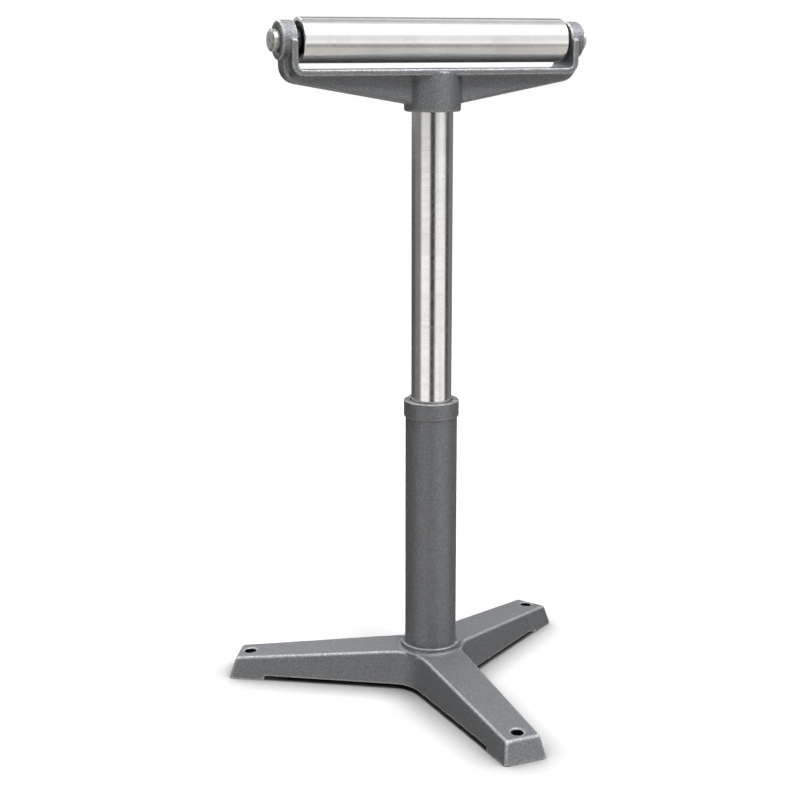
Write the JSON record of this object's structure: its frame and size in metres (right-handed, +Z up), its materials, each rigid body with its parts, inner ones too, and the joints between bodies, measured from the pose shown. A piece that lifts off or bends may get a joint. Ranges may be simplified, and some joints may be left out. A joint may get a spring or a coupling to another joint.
{
  "type": "roller stand",
  "caption": "Height-adjustable roller stand with a cast three-legged foot, a painted column, a bright steel post and a steel roller in a cast yoke.",
  "frame": {"origin": "on the floor, under the middle of the stand's outline; the column's axis stands 51.1 mm from it towards +Y", "axes": "+Z up the column, +X along the roller, one leg of the foot towards -Y and the clamping lever on the +Y side"},
  "size_m": [0.454, 0.3939, 0.8024],
  "materials": {
    "grey_paint": "fine textured grey paint on cast iron and tube",
    "ground_steel": "bright ground steel",
    "dark_steel": "black oxide steel",
    "bearing_steel": "polished bearing steel",
    "black_plastic": "moulded black plastic",
    "bush_plastic": "natural nylon",
    "brass": "turned brass"
  },
  "bodies": {
    "foot": {"base_casting": "grey_paint", "column_tube": "grey_paint", "column_collar": "grey_paint", "guide_bush": "bush_plastic"},
    "post_guide": {"guide_ring": "bush_plastic"},
    "head": {"post_tube": "ground_steel", "post_snap_ring_lower": "dark_steel", "post_snap_ring_upper": "dark_steel", "yoke_casting": "grey_paint", "hub_screw_lower": "dark_steel", "hub_screw_upper": "dark_steel", "axle_screw_left": "dark_steel", "axle_screw_right": "dark_steel", "axle_shaft": "ground_steel", "axle_snap_ring_left": "dark_steel", "axle_snap_ring_right": "dark_steel", "bearing_inner_left": "bearing_steel", "bearing_inner_right": "bearing_steel", "spacer_left": "dark_steel", "spacer_right": "dark_steel"},
    "roller": {"roller_shell": "ground_steel", "end_cap_left": "black_plastic", "end_cap_right": "black_plastic", "bearing_outer_left": "bearing_steel", "bearing_outer_right": "bearing_steel"},
    "cage_left": {"bearing_cage_left": "brass", "ball_left_1": "bearing_steel", "ball_left_2": "bearing_steel", "ball_left_3": "bearing_steel", "ball_left_4": "bearing_steel", "ball_left_5": "bearing_steel", "ball_left_6": "bearing_steel", "ball_left_7": "bearing_steel", "ball_left_8": "bearing_steel"},
    "cage_right": {"bearing_cage_right": "brass", "ball_right_1": "bearing_steel", "ball_right_2": "bearing_steel", "ball_right_3": "bearing_steel", "ball_right_4": "bearing_steel", "ball_right_5": "bearing_steel", "ball_right_6": "bearing_steel", "ball_right_7": "bearing_steel", "ball_right_8": "bearing_steel"},
    "lock_pad_body": {"lock_pad": "brass"},
    "lock_lever": {"lock_screw": "dark_steel", "lock_arm": "dark_steel", "lock_knob": "black_plastic"}
  },
  "joints": [
    {"name": "post_slide", "type": "slide", "parent": "foot", "child": "post_guide", "axis": [0, 0, 1], "range_m": [-0.215, 0.04]},
    {"name": "head_swivel", "type": "hinge", "parent": "post_guide", "child": "head", "pos_m": [0, 0.05107, 0.23], "axis": [0, 0, 1], "continuous": true},
    {"name": "roller_spin", "type": "hinge", "parent": "head", "child": "roller", "pos_m": [0, 0.05107, 0.777], "axis": [1, 0, 0], "continuous": true},
    {"name": "cage_left_spin", "type": "hinge", "parent": "head", "child": "cage_left", "pos_m": [0, 0.05107, 0.777], "axis": [1, 0, 0], "continuous": true},
    {"name": "cage_right_spin", "type": "hinge", "parent": "head", "child": "cage_right", "pos_m": [0, 0.05107, 0.777], "axis": [1, 0, 0], "continuous": true},
    {"name": "lock_travel", "type": "slide", "parent": "foot", "child": "lock_pad_body", "axis": [0, 1, 0], "range_m": [0, 0.0008]},
    {"name": "lock_turn", "type": "hinge", "parent": "lock_pad_body", "child": "lock_lever", "pos_m": [0, 0.05107, 0.3446], "axis": [0, 1, 0], "range_deg": [0, 150]}
  ],
  "couplings": [
    {"joint": "cage_left_spin", "follows": "roller_spin", "ratio": 0.5537},
    {"joint": "cage_right_spin", "follows": "roller_spin", "ratio": 0.5537},
    {"joint": "lock_travel", "follows": "lock_turn", "m_per_rad": 0.00027852}
  ]
}
